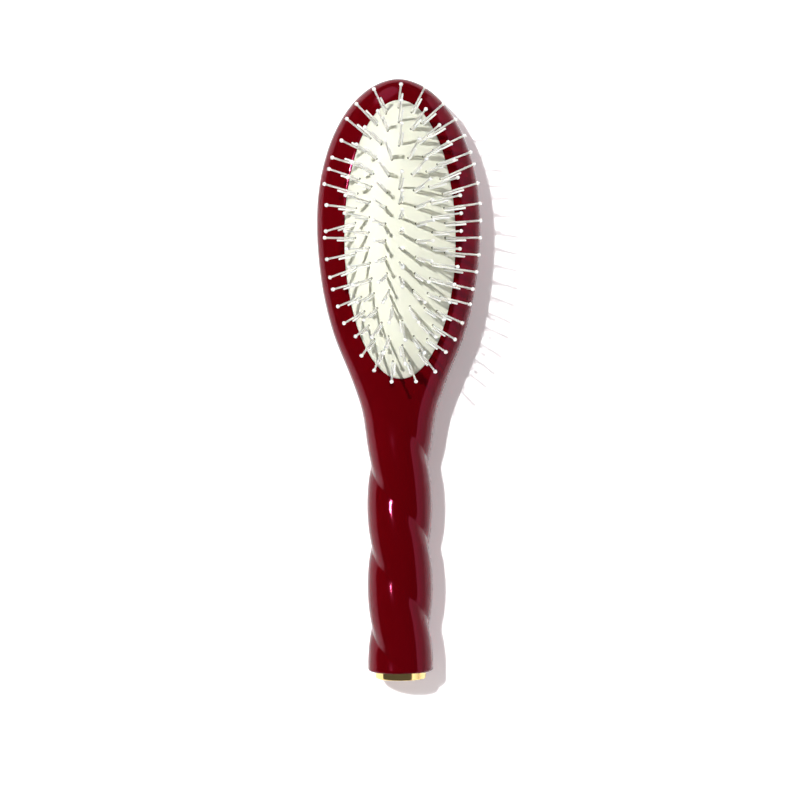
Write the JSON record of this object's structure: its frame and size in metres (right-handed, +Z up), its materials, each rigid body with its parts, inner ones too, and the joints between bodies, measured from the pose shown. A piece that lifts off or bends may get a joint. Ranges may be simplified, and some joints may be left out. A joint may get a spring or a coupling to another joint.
{
  "type": "detangling brush",
  "caption": "Oval cushion brush with rings of bent, ball-tipped quills in a domed rubber pad and a twisted two-strand grip closed by a round metal cap.",
  "frame": {"origin": "on the floor that the brush lies on, under the middle of its whole length and width", "axes": "+Y along the brush from the end cap to the tip of the head, +Z up out of the front, the way the quills point, +X across the head"},
  "size_m": [0.0612, 0.2242, 0.0483],
  "materials": {
    "burgundy_acetate": "polished, deep red, slightly translucent",
    "ivory_rubber": "satin, ivory",
    "white_nylon": "smooth, milky white",
    "gold_metal": "polished, gold plated",
    "stud_steel": "plain",
    "insert_brass": "plain"
  },
  "bodies": {
    "brush_body": {"handle_body": "burgundy_acetate", "cushion_pad": "ivory_rubber", "end_cap": "gold_metal", "cap_stud": "stud_steel", "cap_insert": "insert_brass"},
    "centre_bed": {"quills_centre": "white_nylon"},
    "inner_bed": {"quills_inner": "white_nylon"},
    "middle_bed": {"quills_middle": "white_nylon"},
    "outer_bed": {"quills_outer": "white_nylon"}
  },
  "joints": [
    {"name": "cushion_press", "type": "slide", "parent": "brush_body", "child": "centre_bed", "axis": [0, 0, -1], "range_m": [0, 0.0025], "stiffness_N_per_m": 1500, "deforming": ["cushion_pad"]},
    {"name": "inner_press", "type": "slide", "parent": "brush_body", "child": "inner_bed", "axis": [0, 0, -1], "range_m": [0, 0.0025]},
    {"name": "middle_press", "type": "slide", "parent": "brush_body", "child": "middle_bed", "axis": [0, 0, -1], "range_m": [0, 0.0025]},
    {"name": "outer_press", "type": "slide", "parent": "brush_body", "child": "outer_bed", "axis": [0, 0, -1], "range_m": [0, 0.0025]}
  ],
  "couplings": [
    {"joint": "inner_press", "follows": "cushion_press", "ratio": 0.99},
    {"joint": "middle_press", "follows": "cushion_press", "ratio": 0.78},
    {"joint": "outer_press", "follows": "cushion_press", "ratio": 0.28}
  ]
}
